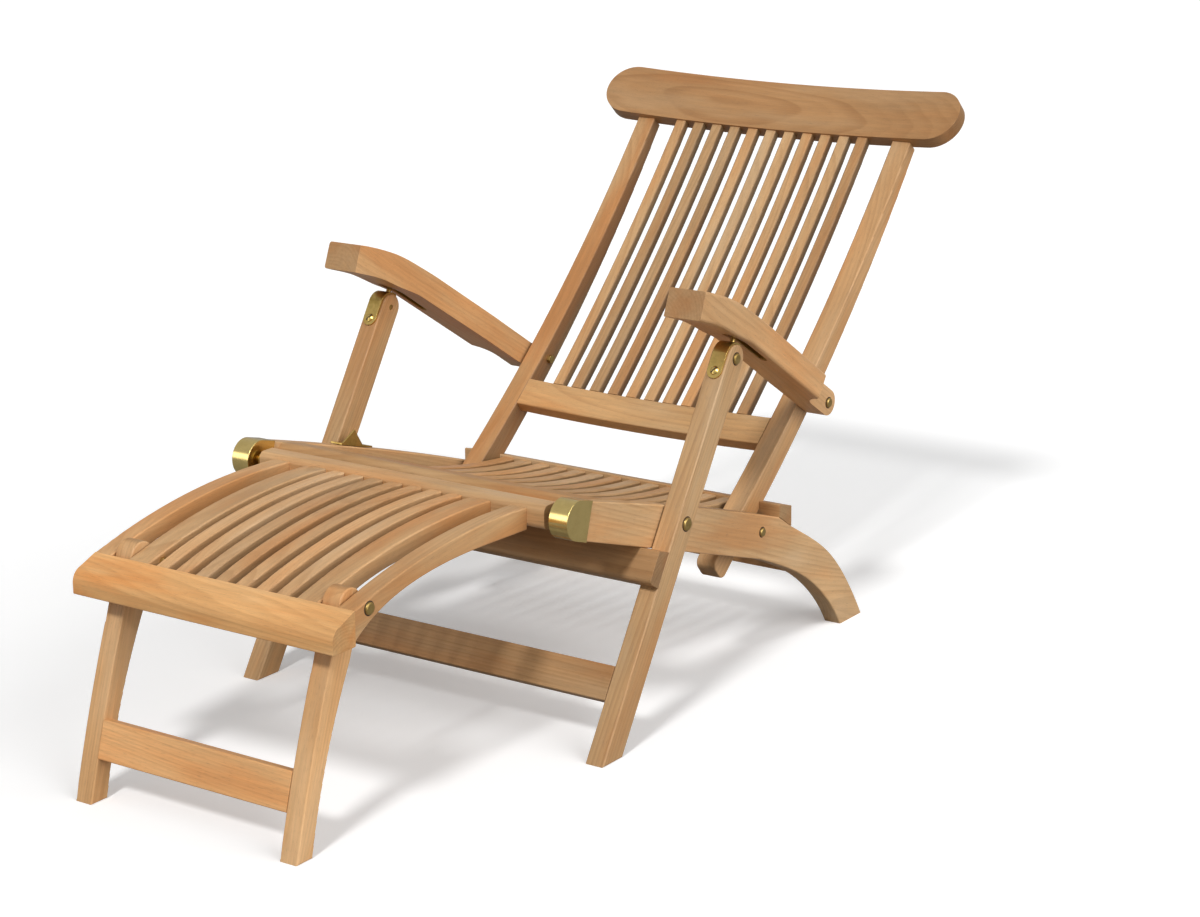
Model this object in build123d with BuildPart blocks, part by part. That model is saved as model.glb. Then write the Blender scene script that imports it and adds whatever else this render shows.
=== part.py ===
"""Folding deck chair in teak with brass fittings, modelled piece by piece.

Millimetres, +Z up, floor at z = 0.  X runs across the chair and Y from the footrest to the
headrest.  Side shapes are drawn as (y, z) points, with y counted rearward from the front
face of the seat, and `mid_length` brings the finished chair over its origin.
"""
import os
from math import atan2, cos, degrees, hypot, radians, sin

from build123d import *

# ---------------------------------------------------------------- driving dimensions
# widths, as distances from the middle plane
rail_inner = 250.0             # inner face of the side rails
rail_thick = 27.0
leg_gap = 1.3                  # washer between rail and front leg
leg_thick = 28.0
stile_gap = 7.0                # spacer between rail and back stile
stile_thick = 31.0
tongue_gap = 4.0               # washer between back stile and armrest
tongue_thick = 31.0
arm_front_inner = rail_inner + 9.0
arm_shoulder_outer = rail_inner + 56.0
arm_front_outer = rail_inner + 65.0
headrest_half = rail_inner + 62.0
footrest_half = rail_inner - 41.0
footrest_side_thick = 26.0
footrest_leg_gap = 2.0
footrest_leg_thick = 27.5
footrest_bar_half = rail_inner - 14.0

# pivots, as (y, z)
footrest_hinge = (-61.0, 327.0)
leg_pivot = (142.0, 276.0)
back_pivot = (380.0, 198.5)
arm_pivot = (557.0, 346.0)
leg_top = (262.5, 473.5)
footrest_leg_pivot = (-392.0, 293.0)

# side rails
knuckle_radius = 25.0
knuckle_front_angle = 163.0
under_angle = -17.9            # the straight lower edge behind the hinge
top_angle = -14.6              # the upper edge where it leaves the hinge end
rail_top_mid = (180.0, 286.0)
rail_notch_front = (427.0, 208.0)
rail_notch_rear = (459.0, 187.5)
rail_top_bend = [(483.0, 174.0), (570.0, 118.0), (630.0, 52.0)]
rail_toe_rear = 665.0
rail_under_bend = [(429.0, 137.0), (485.0, 109.0), (543.0, 68.5)]
rail_under_straight_end = (375.0, 160.0)
rail_toe_front = 603.0

# brass caps on the rail ends
cap_wall = 1.2
cap_length = 50.0
cheek = 0.8
cap_fit = 0.05
cap_soft_edge = 0.6

# seat
seat_bar_front = -25.0
seat_bar_rear = 30.0
seat_bar_thick = 27.0
seat_nose_radius = 12.0
slat_pitch = 32.4
slat_width = 20.0
seat_slat_thick = 18.0
seat_sag = 20.0
seat_slat_drop = 3.0           # below the rear bar's top
seat_slats_each_side = 6
rear_bar_height = 18.5
rear_bar_drop = 9.0
rest_share = 0.08              # of the stile's rear arc, which the bar's notches follow
cross_rail_front = 504.0
cross_rail_bottom = 101.0
cross_rail_height = 46.0
cross_rail_thick = 22.0

# front legs
leg_foot = -32.0               # where a leg's centre line meets the floor
leg_depth = 38.0
upper_stretcher_height = 50.0
upper_stretcher_thick = 22.0
upper_stretcher_nose = 7.0     # rounding of its lower front edge
lower_stretcher_low = 62.0
lower_stretcher_height = 47.0
lower_stretcher_thick = 21.0

# back frame
stile_front = [(379.0, 221.5), (617.0, 424.5), (850.0, 676.0)]
stile_depths = [36.8, 30.0, 20.0]
stile_low_angle = 39.6
stile_high_angle = 46.7
stile_tail = 93.0              # how far a stile runs on below its pivot
stile_tail_radius = 12.0
low_rail_share = 0.1816        # of the way along the stile's front arc
low_rail_angle = 41.1
low_rail_height = 46.4
low_rail_thick = 22.0
low_rail_dish = 7.0
headrest_height = 86.0
headrest_thick = 22.0
headrest_radius = 3000.0
headrest_proud = 9.0           # ahead of the stiles' front
back_slat_width = 18.0
back_slat_thick = 13.0
back_slat_set_back = 3.0       # behind the headrest's front
back_slat_bow = 9.0
back_slats_each_side = 5

# armrests, measured from the arm pivot: u towards the front, v upward
arm_slope = 147.8              # direction of u, degrees from +Y
arm_half_depth = 18.5
arm_top = [(270.0, 19.5), (309.0, 18.5), (360.0, 15.5), (406.0, 7.0), (448.0, -4.5)]
arm_under = [(441.0, -43.0), (408.0, -34.5), (385.0, -29.5), (336.0, -24.0), (286.0, -18.5)]
arm_top_tip = (42.0, -14.0)     # the way each edge runs at the arm's front
arm_under_tip = (-33.0, 8.0)
shoulder = 77.0
shoulder_run = 34.0            # length of the hollow that brings the arm down to its tongue
arm_inner_straight = 120.0
arm_plan_length = 460.0
arm_soft_edge = 4.0
slot_rear = 224.0
slot_front = 341.0
slot_width = 14.0
slot_depth = 14.0              # above the lowest face of the arm
slot_run_out = 10.0            # how far the slot's cut starts below the arm
channel_wall = 1.4
channel_recess = 1.0           # inside the arm's lower face

# hook fittings on the leg tops
strap_width = 22.0
strap_thick = 2.5
strap_length = 37.0
strap_wrap = 20.0              # degrees past the leg's rear face
peg_soft_edge = 1.2
peg_radius = 3.6
peg_reach = 14.5

# footrest
footrest_top = [(-418.0, 297.0), (-250.0, 332.5), (-78.0, 337.5)]
footrest_under = [(-418.0, 258.5), (-372.0, 284.0), (-295.0, 303.5), (-216.0, 310.0), (-78.0, 308.0)]
footrest_bar_nose = (-460.0, 268.0)
footrest_bar_under = 253.0
footrest_bar_brow = (-456.0, 279.0)
footrest_bar_top = (-445.0, 286.0)
leg_rest_side_gap = 1.0        # each side of a leg in the front bar's notch
leg_rest_run_out = 60.0        # how far the notch's cut runs on behind the bar
wide_slat_gap = 1.0            # between a leg and the wide slat inside it
hinge_bar_depth = 34.0
hinge_bar_height = 32.0
hinge_bar_round = 9.0
footrest_slat_thick = 18.0
footrest_slats_each_side = 4

# footrest legs
ear_radius = 20.0
ear_front_angle = 163.5
footrest_leg_front = [(-429.0, 238.0), (-476.0, 102.0), (-505.0, 0.0)]
footrest_leg_rear = [(-476.0, 0.0), (-448.0, 101.0), (-396.0, 223.0)]
footrest_stretcher_low = 56.0
footrest_stretcher_high = 104.0
footrest_stretcher_thick = 20.0

# fasteners
shank_radius = 4.0
shank_fit = 0.05
head_height = 3.2
head_dome = 2.4                # rounding of a bolt's head
screw_head_height = 2.2
screw_head_dome = 1.6
leg_pivot_head = 9.0
back_pivot_head = 6.4
arm_pivot_head = 7.0
leg_top_head = 7.7
footrest_leg_head = 8.0
nut_radius = 6.6
nut_height = 5.5
hinge_pin_radius = 5.0
hinge_pin_bite = 20.0
hinge_pin_recess = 4.0         # inside the rail's outer face
hinge_pin_end_gap = 0.5
press_fit = 0.02
leg_top_bolt_end = 1.0         # short of the leg's inner face
hinge_washer_radius = 11.0
hinge_washer_thick = 4.0
washer_radius = 10.0
washer_fit = 0.15              # a washer's clearance on each side
screw_head_radius = 4.6

# brass bracket on the right-hand rail
bracket_front = 113.0
bracket_rear = 180.0
bracket_width = 20.0
bracket_thick = 2.5
bracket_height = 24.0
bracket_lift = 0.9             # clears the rail's crown between the two ends
bracket_gusset_peak = 0.45     # of the bracket's length
bracket_gusset_end = 0.72

# general
running_gap = 0.4              # between pieces that move past each other
ample = 200.0                  # longer than any piece that a trimming shape is used on
soft_edge = 2.0
slat_soft_edge = 2.0
rail_long_edge = 100.0         # only edges longer than these are softened
stile_long_edge = 200.0
arm_long_edge = 60.0
halvings = 40                  # steps in the search for a height on a curve

# ---------------------------------------------------------------- worked-out places
rail_outer = rail_inner + rail_thick
leg_inner = rail_outer + leg_gap
leg_outer = leg_inner + leg_thick
leg_middle = (leg_inner + leg_outer) / 2
stile_outer = rail_inner - stile_gap
stile_inner = stile_outer - stile_thick
tongue_inner = stile_outer + tongue_gap
tongue_outer = tongue_inner + tongue_thick
footrest_side_inner = footrest_half - footrest_side_thick
footrest_leg_outer = footrest_side_inner - footrest_leg_gap
footrest_leg_inner = footrest_leg_outer - footrest_leg_thick
wide_slat_inner = footrest_slats_each_side * slat_pitch - slat_width / 2
wide_slat_outer = footrest_leg_inner - wide_slat_gap


def move(point, angle, distance):
    """The (y, z) point at a distance from another, in a direction given in degrees."""
    turn = radians(angle)
    return (point[0] + distance * cos(turn), point[1] + distance * sin(turn))


def heading(start, end):
    return degrees(atan2(end[1] - start[1], end[0] - start[0]))


leg_angle = heading((leg_foot, 0.0), leg_top)
stile_rear = [
    move(stile_front[0], stile_low_angle - 90, stile_depths[0]),
    move(stile_front[1], (stile_low_angle + stile_high_angle) / 2 - 90, stile_depths[1]),
    move(stile_front[2], stile_high_angle - 90, stile_depths[2]),
]
stile_middle = (stile_inner + stile_outer) / 2
headrest_dish = stile_middle ** 2 / (2 * headrest_radius)
headrest_rear = move(move(stile_front[2], stile_high_angle, headrest_height),
                     stile_high_angle - 90, headrest_thick + headrest_dish - headrest_proud)
mid_length = (headrest_rear[0] + footrest_leg_front[2][0]) / 2


# ---------------------------------------------------------------- drawing aids
def side_plane(x):
    """Plane across the chair at x: local x is the layout's y, local y is z."""
    return Plane(origin=(x, -mid_length, 0), x_dir=(0, 1, 0), z_dir=(1, 0, 0))


def board_plane(point, angle):
    """Plane square to a direction: local x is X, local y points to the under or rear side."""
    turn = radians(angle)
    return Plane(origin=(0, point[0] - mid_length, point[1]), x_dir=(1, 0, 0),
                 z_dir=(0, cos(turn), sin(turn)))


def face_plane(point, angle):
    """Plane along a direction: local x is X, local y runs along the direction."""
    turn = radians(angle)
    return Plane(origin=(0, point[0] - mid_length, point[1]), x_dir=(1, 0, 0),
                 z_dir=(0, -sin(turn), cos(turn)))


def save(piece, name):
    piece.label = name
    export_step(piece, f"parts/{name}.step")


def save_pair(piece, name):
    """The left piece as it is, and its mirror image on the right."""
    save(piece, f"{name}_left")
    save(mirror(piece, about=Plane.YZ), f"{name}_right")


def both_sides(piece):
    return Compound(children=[piece, mirror(piece, about=Plane.YZ)])


def bore(points, radius, x_from, x_to):
    """Cut a hole along X through the part that is being built."""
    with BuildSketch(side_plane(x_from)) as holes:
        with Locations(*points):
            Circle(radius)
    extrude(holes.sketch, amount=x_to - x_from, mode=Mode.SUBTRACT)


def dome_bolt(point, head_x, tip_x, head_radius, radius=shank_radius):
    """A bolt along X with a domed head outside head_x and its tip at tip_x."""
    with BuildPart() as bolt:
        with BuildSketch(side_plane(tip_x)):
            with Locations(point):
                Circle(radius)
        extrude(amount=head_x - tip_x)
        with BuildSketch(side_plane(head_x)):
            with Locations(point):
                Circle(head_radius)
        extrude(amount=head_height)
        fillet(bolt.faces().sort_by(Axis.X)[-1].edges(), head_dome)
    return bolt.part


def ring(point, x_from, thick, outer, inner):
    """A washer or a nut along X."""
    with BuildPart() as washer:
        with BuildSketch(side_plane(x_from)):
            with Locations(point):
                Circle(outer)
                Circle(inner, mode=Mode.SUBTRACT)
        extrude(amount=thick)
    return washer.part


def nut(point, x_from):
    """A low round-cornered nut on the inner side, from x_from inwards."""
    with BuildPart() as body:
        with BuildSketch(side_plane(x_from - nut_height)):
            with Locations(point):
                RegularPolygon(nut_radius, 6)
        extrude(amount=nut_height)
        bore([point], shank_radius + shank_fit, x_from - nut_height, x_from)
    return body.part


def arc_at(points, share):
    """The point at a share of the way along the arc through three points."""
    with BuildLine() as line:
        ThreePointArc(*points)
    spot = line.line @ share
    return (spot.X, spot.Y)


os.makedirs("parts", exist_ok=True)

# ---------------------------------------------------------------- side rails
knuckle_top = move(footrest_hinge, top_angle + 90, knuckle_radius)
knuckle_front = move(footrest_hinge, knuckle_front_angle, knuckle_radius)
knuckle_under = move(footrest_hinge, under_angle - 90, knuckle_radius)

with BuildSketch() as rail_shape:
    with BuildLine():
        ThreePointArc(knuckle_top, rail_top_mid, rail_notch_front)
        Line(rail_notch_front, rail_notch_rear)
        Spline(rail_notch_rear, *rail_top_bend, (rail_toe_rear, 0))
        Line((rail_toe_rear, 0), (rail_toe_front, 0))
        Spline((rail_toe_front, 0), *reversed(rail_under_bend), rail_under_straight_end)
        Line(rail_under_straight_end, knuckle_under)
        ThreePointArc(knuckle_under, knuckle_front, knuckle_top)
    make_face()

with BuildPart() as side_rail:
    with BuildSketch(side_plane(rail_inner)):
        add(rail_shape.sketch)
    extrude(amount=rail_thick)
    side_edges = side_rail.faces().filter_by(Axis.X).edges()
    fillet([e for e in side_edges if e.length > rail_long_edge], soft_edge)
    bore([leg_pivot, back_pivot], shank_radius + shank_fit, rail_inner, rail_outer)
    bore([footrest_hinge], hinge_pin_radius + shank_fit, rail_inner, rail_outer)
save_pair(side_rail.part, "side_rail")

# ---------------------------------------------------------------- brass caps on the rail ends


def cap_outline(extra, reach):
    """The rail's end grown by a little, out to a distance behind the hinge."""
    top = move(footrest_hinge, top_angle + 90, knuckle_radius + extra)
    front = move(footrest_hinge, knuckle_front_angle, knuckle_radius + extra)
    under = move(footrest_hinge, under_angle - 90, knuckle_radius + extra)
    with BuildSketch() as outline:
        with BuildLine():
            Line(move(top, top_angle, reach), top)
            ThreePointArc(top, front, under)
            Line(under, move(under, under_angle, reach))
            Line(move(under, under_angle, reach), move(top, top_angle, reach))
        make_face()
    return outline.sketch


cap_reach = cap_length - knuckle_radius
with BuildPart() as cap_core:
    with BuildSketch(side_plane(rail_inner - cap_fit)):
        add(cap_outline(cap_fit, cap_reach + cap_wall))
    extrude(amount=rail_thick + 2 * cap_fit)
with BuildPart() as rail_cap:
    with BuildSketch(side_plane(rail_inner - cap_fit - cheek)):
        add(cap_outline(cap_fit + cap_wall, cap_reach))
    extrude(amount=rail_thick + 2 * (cap_fit + cheek))
    fillet(rail_cap.faces().filter_by(Axis.X).edges(), cap_soft_edge)
    add(cap_core.part, mode=Mode.SUBTRACT)
    bore([footrest_hinge], hinge_pin_radius + shank_fit, rail_inner - 2 * cheek, rail_inner)
save(both_sides(rail_cap.part), "rail_caps")

# ---------------------------------------------------------------- seat


def on_rail_top(y):
    """Height of the rails' upper edge above a place y in front of the seat's rear bar."""
    run = rail_notch_front[0] - knuckle_top[0]
    fall = rail_notch_front[1] - knuckle_top[1]
    middle = (rail_top_mid[0] - knuckle_top[0]) / run
    crown = rail_top_mid[1] - knuckle_top[1] - middle * fall
    share = (y - knuckle_top[0]) / run
    return knuckle_top[1] + share * fall + crown * 4 * share * (1 - share)


seat_front_height = on_rail_top(seat_bar_rear)
seat_nose_height = on_rail_top(seat_bar_front)
with BuildPart() as seat_front_bar:
    with BuildSketch(side_plane(-rail_inner)):
        Polygon(
            (seat_bar_front, seat_nose_height),
            (seat_bar_rear, seat_front_height),
            (seat_bar_rear, seat_front_height - seat_bar_thick),
            (seat_bar_front, seat_nose_height - seat_bar_thick),
            align=None,
        )
    extrude(amount=2 * rail_inner)
    front_edges = seat_front_bar.faces().sort_by(Axis.Y)[0].edges().filter_by(Axis.X)
    fillet(front_edges, seat_nose_radius)
save(seat_front_bar.part, "seat_front_bar")

rear_bar_top_front = (rail_notch_front[0], rail_notch_front[1] + rear_bar_height)
rear_bar_top_rear = (rail_notch_rear[0], rear_bar_top_front[1] - rear_bar_drop)
stile_rear_low = stile_rear[0]
stile_rear_mark = arc_at(stile_rear, rest_share)
rest_angle = heading(stile_rear_low, stile_rear_mark)
rest_line = move(stile_rear_low, rest_angle - 90, running_gap)
with BuildPart() as seat_rear_bar:
    with BuildSketch(side_plane(-rail_outer)):
        Polygon(
            rail_notch_front,
            rear_bar_top_front,
            rear_bar_top_rear,
            rail_notch_rear,
            align=None,
        )
    extrude(amount=2 * rail_outer)
    fillet(seat_rear_bar.edges().filter_by(Axis.X).group_by(Axis.Z)[-1], soft_edge)
    for side in (-1, 1):
        with BuildSketch(side_plane(side * stile_middle)):
            Polygon(
                move(rest_line, rest_angle, -ample),
                move(rest_line, rest_angle, ample),
                move(move(rest_line, rest_angle, ample), rest_angle + 90, ample),
                move(move(rest_line, rest_angle, -ample), rest_angle + 90, ample),
                align=None,
            )
        extrude(amount=stile_thick / 2 + running_gap, both=True, mode=Mode.SUBTRACT)
save(seat_rear_bar.part, "seat_rear_bar")

with BuildPart() as rear_cross_rail:
    with BuildSketch(side_plane(-rail_inner)):
        with Locations((cross_rail_front + cross_rail_thick / 2,
                        cross_rail_bottom + cross_rail_height / 2)):
            Rectangle(cross_rail_thick, cross_rail_height)
    extrude(amount=2 * rail_inner)
    fillet(rear_cross_rail.edges().filter_by(Axis.X), soft_edge)
save(rear_cross_rail.part, "rear_cross_rail")

seat_slat_start = (seat_bar_rear, seat_front_height)
seat_slat_end = (rail_notch_front[0], rear_bar_top_front[1] - seat_slat_drop)
seat_slat_dip = ((seat_slat_start[0] + seat_slat_end[0]) / 2,
                 (seat_slat_start[1] + seat_slat_end[1]) / 2 - seat_sag)


def lowered(point, amount):
    return (point[0], point[1] - amount)


def curved_slat(x, top_points, thick):
    """A slat of one width along a curve, with its middle plane at x."""
    with BuildPart() as slat:
        with BuildSketch(side_plane(x - slat_width / 2)):
            with BuildLine():
                ThreePointArc(*top_points)
                Line(top_points[2], lowered(top_points[2], thick))
                ThreePointArc(*[lowered(p, thick) for p in reversed(top_points)])
                Line(lowered(top_points[0], thick), top_points[0])
            make_face()
        extrude(amount=slat_width)
        fillet(slat.faces().filter_by(Axis.X).edges(), slat_soft_edge)
    return slat.part


seat_places = range(-seat_slats_each_side, seat_slats_each_side + 1)
seat_slats = Compound(children=[
    curved_slat(place * slat_pitch, [seat_slat_start, seat_slat_dip, seat_slat_end], seat_slat_thick)
    for place in seat_places
])
save(seat_slats, "seat_slats")

# ---------------------------------------------------------------- front legs
leg_front_top = move(leg_top, leg_angle + 90, leg_depth / 2)
leg_rear_top = move(leg_top, leg_angle - 90, leg_depth / 2)
foot_half = leg_depth / 2 / sin(radians(leg_angle))
with BuildPart() as front_leg:
    with BuildSketch(side_plane(leg_inner)):
        with BuildLine():
            Line((leg_foot - foot_half, 0), leg_front_top)
            ThreePointArc(leg_front_top, move(leg_top, leg_angle, leg_depth / 2), leg_rear_top)
            Line(leg_rear_top, (leg_foot + foot_half, 0))
            Line((leg_foot + foot_half, 0), (leg_foot - foot_half, 0))
        make_face()
    extrude(amount=leg_thick)
    fillet(front_leg.faces().filter_by(Axis.X).edges(), soft_edge)
    bore([leg_pivot, leg_top], shank_radius + shank_fit, leg_inner, leg_outer)
save_pair(front_leg.part, "front_leg")

# the upper stretcher lies on the legs' front faces, and the rails rest on its planed top
under_start = move(knuckle_under, under_angle - 90, running_gap)


def leg_front_at(distance, ahead=0.0):
    """A point on the legs' front faces, a distance up from the floor along the leg."""
    return move(move((leg_foot, 0.0), leg_angle, distance), leg_angle + 90, leg_depth / 2 + ahead)


def under_rail_along_leg(ahead):
    """How far up the leg the rails' lower edge is met, on a line ahead of the front face."""
    base = leg_front_at(0.0, ahead)
    across = (under_start[0] - base[0], under_start[1] - base[1])
    slope = radians(under_angle)
    lean = radians(leg_angle)
    return (across[0] * sin(slope) - across[1] * cos(slope)) / sin(slope - lean)


stretcher_rear_top = under_rail_along_leg(0.0)
stretcher_front_top = under_rail_along_leg(upper_stretcher_thick)
stretcher_low = stretcher_rear_top - upper_stretcher_height
with BuildPart() as leg_upper_stretcher:
    with BuildSketch(side_plane(-leg_outer)):
        Polygon(
            leg_front_at(stretcher_low),
            leg_front_at(stretcher_rear_top),
            leg_front_at(stretcher_front_top, upper_stretcher_thick),
            leg_front_at(stretcher_low, upper_stretcher_thick),
            align=None,
        )
        fillet(vertices().sort_by(Axis.X)[0], upper_stretcher_nose)
    extrude(amount=2 * leg_outer)
save(leg_upper_stretcher.part, "leg_upper_stretcher")

lower_start = lower_stretcher_low / sin(radians(leg_angle))
with BuildPart() as leg_lower_stretcher:
    with BuildSketch(side_plane(-leg_inner)):
        Polygon(
            leg_front_at(lower_start),
            leg_front_at(lower_start + lower_stretcher_height),
            leg_front_at(lower_start + lower_stretcher_height, -lower_stretcher_thick),
            leg_front_at(lower_start, -lower_stretcher_thick),
            align=None,
        )
    extrude(amount=2 * leg_inner)
    fillet(leg_lower_stretcher.edges().filter_by(Axis.X), soft_edge)
save(leg_lower_stretcher.part, "leg_lower_stretcher")

# hook fittings: a brass strap over each leg top, with a peg that stands in the armrest's slot
strap_end = move(leg_front_top, leg_angle + 180, strap_length)
wrap_angle = leg_angle - strap_wrap
wrap_middle = (wrap_angle + leg_angle + 90) / 2
strap_inner = leg_depth / 2 + shank_fit
with BuildPart() as leg_hook:
    with BuildSketch(side_plane(leg_middle - strap_width / 2)):
        with BuildLine():
            outer = strap_inner + strap_thick
            outer_low = move(strap_end, leg_angle + 90, strap_thick + shank_fit)
            inner_low = move(strap_end, leg_angle + 90, shank_fit)
            outer_bend = move(leg_top, leg_angle + 90, outer)
            inner_bend = move(leg_top, leg_angle + 90, strap_inner)
            Line(inner_low, outer_low)
            Line(outer_low, outer_bend)
            ThreePointArc(outer_bend, move(leg_top, wrap_middle, outer),
                          move(leg_top, wrap_angle, outer))
            Line(move(leg_top, wrap_angle, outer), move(leg_top, wrap_angle, strap_inner))
            ThreePointArc(move(leg_top, wrap_angle, strap_inner),
                          move(leg_top, wrap_middle, strap_inner), inner_bend)
            Line(inner_bend, inner_low)
        make_face()
    extrude(amount=strap_width)
    with BuildSketch(face_plane(strap_end, leg_angle)):
        with Locations((leg_middle, strap_width / 2)):
            Circle(strap_width / 2)
        with Locations((leg_middle, (ample + strap_width) / 2)):
            Rectangle(strap_width, ample)
    extrude(amount=ample, both=True, mode=Mode.INTERSECT)
    peg_turn = radians(arm_slope - 90)
    peg_foot = move(leg_top, arm_slope - 90, strap_inner + strap_thick / 2)
    peg_plane = Plane(
        origin=(leg_middle, peg_foot[0] - mid_length, peg_foot[1]),
        x_dir=(1, 0, 0),
        z_dir=(0, cos(peg_turn), sin(peg_turn)),
    )
    with BuildSketch(peg_plane):
        Circle(peg_radius)
    extrude(amount=strap_thick / 2 + peg_reach)
    fillet(leg_hook.faces().sort_by(Axis.Z)[-1].edges(), peg_soft_edge)
save(both_sides(leg_hook.part), "leg_hooks")

screw_spot = move(strap_end, leg_angle, strap_width / 2)
screw_foot = move(screw_spot, leg_angle + 90, strap_thick + shank_fit)
screw_plane = face_plane(screw_foot, leg_angle)
with BuildPart() as hook_screw:
    with BuildSketch(screw_plane):
        with Locations((leg_middle, 0)):
            Circle(screw_head_radius)
    extrude(amount=screw_head_height)
    fillet(hook_screw.faces().sort_by(Axis.Z)[-1].edges(), screw_head_dome)
save(both_sides(hook_screw.part), "hook_screws")

leg_top_bolt = dome_bolt(leg_top, leg_outer, leg_inner + leg_top_bolt_end, leg_top_head)
save(both_sides(leg_top_bolt), "leg_top_bolts")

# ---------------------------------------------------------------- back frame
tail_front = move(stile_front[0], stile_low_angle + 180, stile_tail)
tail_rear = move(stile_rear[0], stile_low_angle + 180, stile_tail)
with BuildPart() as back_stile:
    with BuildSketch(side_plane(stile_inner)):
        with BuildLine():
            Line(tail_front, stile_front[0])
            ThreePointArc(*stile_front)
            Line(stile_front[2], stile_rear[2])
            ThreePointArc(*reversed(stile_rear))
            Line(stile_rear[0], tail_rear)
            Line(tail_rear, tail_front)
        make_face()
        fillet(vertices().sort_by(Axis.X)[:2], stile_tail_radius)
    extrude(amount=stile_thick)
    long_edges = back_stile.faces().filter_by(Axis.X).edges()
    fillet([e for e in long_edges if e.length > stile_long_edge], soft_edge)
    bore([back_pivot, arm_pivot], shank_radius + shank_fit, stile_inner, stile_outer)
save_pair(back_stile.part, "back_stile")

# lower back rail: dished across its width, its front flush with the stiles at its ends
low_rail_foot = arc_at(stile_front, low_rail_share)
low_rail_head = move(low_rail_foot, low_rail_angle, low_rail_height)
with BuildPart() as back_lower_rail:
    with BuildSketch(board_plane(low_rail_foot, low_rail_angle)):
        with BuildLine():
            ThreePointArc((-stile_inner, 0), (0, low_rail_dish), (stile_inner, 0))
            Line((stile_inner, 0), (stile_inner, low_rail_thick))
            ThreePointArc((stile_inner, low_rail_thick), (0, low_rail_dish + low_rail_thick),
                          (-stile_inner, low_rail_thick))
            Line((-stile_inner, low_rail_thick), (-stile_inner, 0))
        make_face()
    extrude(amount=low_rail_height)
    rail_edges = back_lower_rail.edges().filter_by(GeomType.CIRCLE)
    fillet(rail_edges, soft_edge)
save(back_lower_rail.part, "back_lower_rail")


def headrest_recess(x):
    """How far the headrest's front lies behind the stiles' front at x (less than 0: ahead)."""
    return headrest_dish - x ** 2 / (2 * headrest_radius) - headrest_proud


end_front = headrest_recess(headrest_half)
mid_front = headrest_recess(0)
with BuildPart() as headrest:
    with BuildSketch(board_plane(stile_front[2], stile_high_angle)):
        with BuildLine():
            ThreePointArc((-headrest_half, end_front), (0, mid_front), (headrest_half, end_front))
            Line((headrest_half, end_front), (headrest_half, end_front + headrest_thick))
            ThreePointArc((headrest_half, end_front + headrest_thick),
                          (0, mid_front + headrest_thick),
                          (-headrest_half, end_front + headrest_thick))
            Line((-headrest_half, end_front + headrest_thick), (-headrest_half, end_front))
        make_face()
    extrude(amount=headrest_height)
    with BuildSketch(face_plane(stile_front[2], stile_high_angle)):
        with Locations((0, headrest_height / 2)):
            SlotOverall(2 * headrest_half, headrest_height)
    extrude(amount=ample, both=True, mode=Mode.INTERSECT)
save(headrest.part, "headrest")

# back slats, from the lower rail up to the headrest
for place in range(-back_slats_each_side, back_slats_each_side + 1):
    slat_x = place * slat_pitch
    low_recess = low_rail_dish * (1 - (slat_x / stile_inner) ** 2)
    high_recess = headrest_recess(slat_x) + back_slat_set_back
    slat_foot = move(low_rail_head, low_rail_angle - 90, low_recess)
    slat_head = move(stile_front[2], stile_high_angle - 90, high_recess)
    slat_angle = heading(slat_foot, slat_head)
    slat_half = hypot(slat_head[0] - slat_foot[0], slat_head[1] - slat_foot[1]) / 2
    slat_mid = move(move(slat_foot, slat_angle, slat_half), slat_angle - 90, back_slat_bow)
    with BuildPart() as back_slat:
        with BuildSketch(side_plane(slat_x - back_slat_width / 2)):
            with BuildLine():
                rear_foot = move(slat_foot, low_rail_angle - 90, back_slat_thick)
                rear_head = move(slat_head, stile_high_angle - 90, back_slat_thick)
                rear_mid = move(slat_mid, slat_angle - 90, back_slat_thick)
                ThreePointArc(slat_foot, slat_mid, slat_head)
                Line(slat_head, rear_head)
                ThreePointArc(rear_head, rear_mid, rear_foot)
                Line(rear_foot, slat_foot)
            make_face()
        extrude(amount=back_slat_width)
        slat_edges = back_slat.faces().filter_by(Axis.X).edges().filter_by(GeomType.CIRCLE)
        fillet(slat_edges, slat_soft_edge)
    save(back_slat.part, f"back_slat_{place + back_slats_each_side + 1:02d}")

# ---------------------------------------------------------------- armrests
arm_u = (0, cos(radians(arm_slope)), sin(radians(arm_slope)))
arm_v = (0, cos(radians(arm_slope - 90)), sin(radians(arm_slope - 90)))


def arm_side_plane(x):
    """Plane at x with local x along the arm towards its front and local y upward."""
    return Plane(origin=(x, arm_pivot[0] - mid_length, arm_pivot[1]), x_dir=arm_u,
                 z_dir=(-1, 0, 0))


def arm_plan_plane(v):
    """Plane along the arm at a height v: local x is X, local y runs towards the rear."""
    origin = (0, arm_pivot[0] - mid_length + v * arm_v[1], arm_pivot[1] + v * arm_v[2])
    return Plane(origin=origin, x_dir=(1, 0, 0), z_dir=arm_v)


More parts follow.
